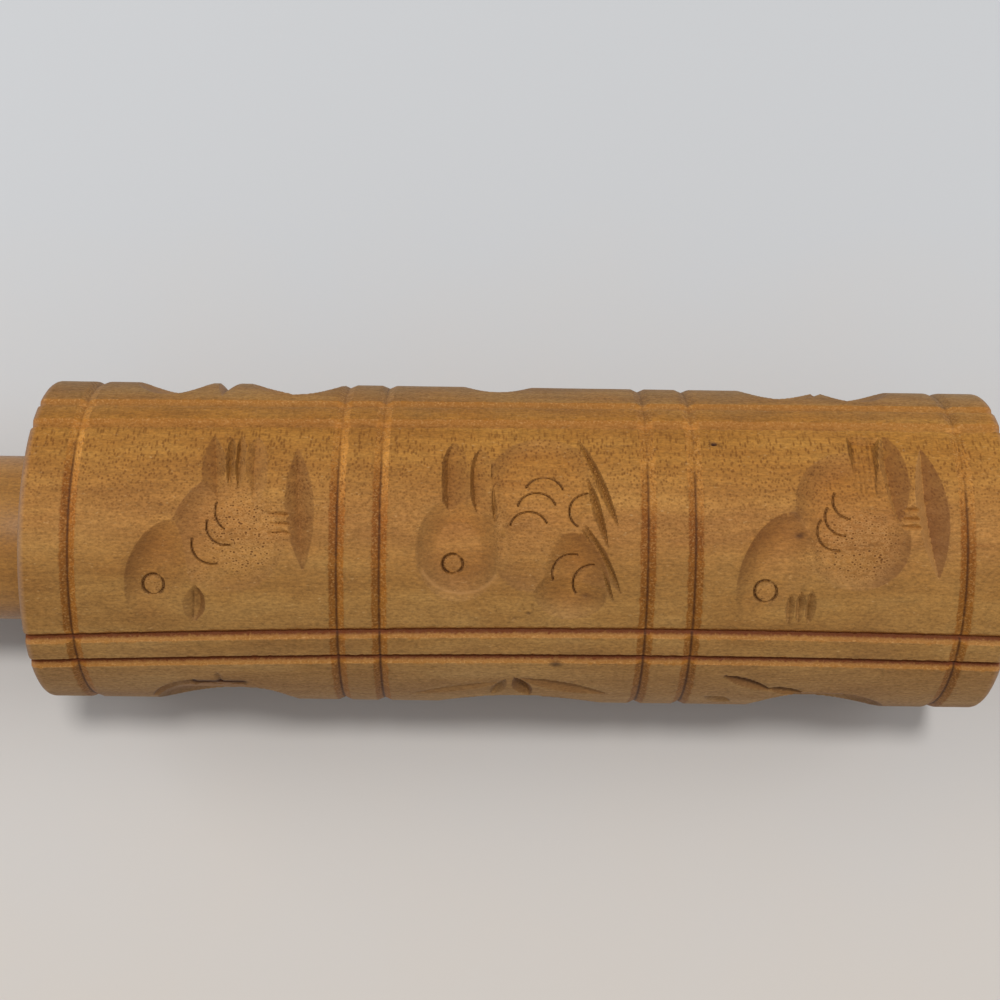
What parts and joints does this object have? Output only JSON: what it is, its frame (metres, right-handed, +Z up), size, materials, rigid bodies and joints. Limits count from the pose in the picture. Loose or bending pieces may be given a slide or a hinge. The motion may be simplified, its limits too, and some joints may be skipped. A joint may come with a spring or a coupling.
{
  "type": "springerle rolling pin",
  "caption": "Springerle rolling pin: a wooden roller carved with picture panels that spins on a steel axle between turned handles.",
  "frame": {"origin": "middle of the roller, on the axle's centre line", "axes": "+X along the axle to the right handle, +Z up through the middle of the bird and rabbit row, +Y away from the viewer"},
  "size_m": [0.3696, 0.057, 0.057],
  "materials": {
    "roller_wood": "satin",
    "handle_wood": "semi-gloss lacquer",
    "steel": "turned",
    "nylon": "matte"
  },
  "bodies": {
    "handles": {"axle": "steel", "left_thrust_washer": "steel", "left_handle": "handle_wood", "left_nut_washer": "steel", "left_nut": "steel", "left_plug": "handle_wood", "right_thrust_washer": "steel", "right_handle": "handle_wood", "right_nut_washer": "steel", "right_nut": "steel", "right_plug": "handle_wood"},
    "roller": {"roller": "roller_wood", "left_bush": "nylon", "right_bush": "nylon"}
  },
  "joints": [
    {"name": "roller_spin", "type": "hinge", "parent": "handles", "child": "roller", "pos_m": [0, 0, 0], "axis": [1, 0, 0], "continuous": true}
  ]
}
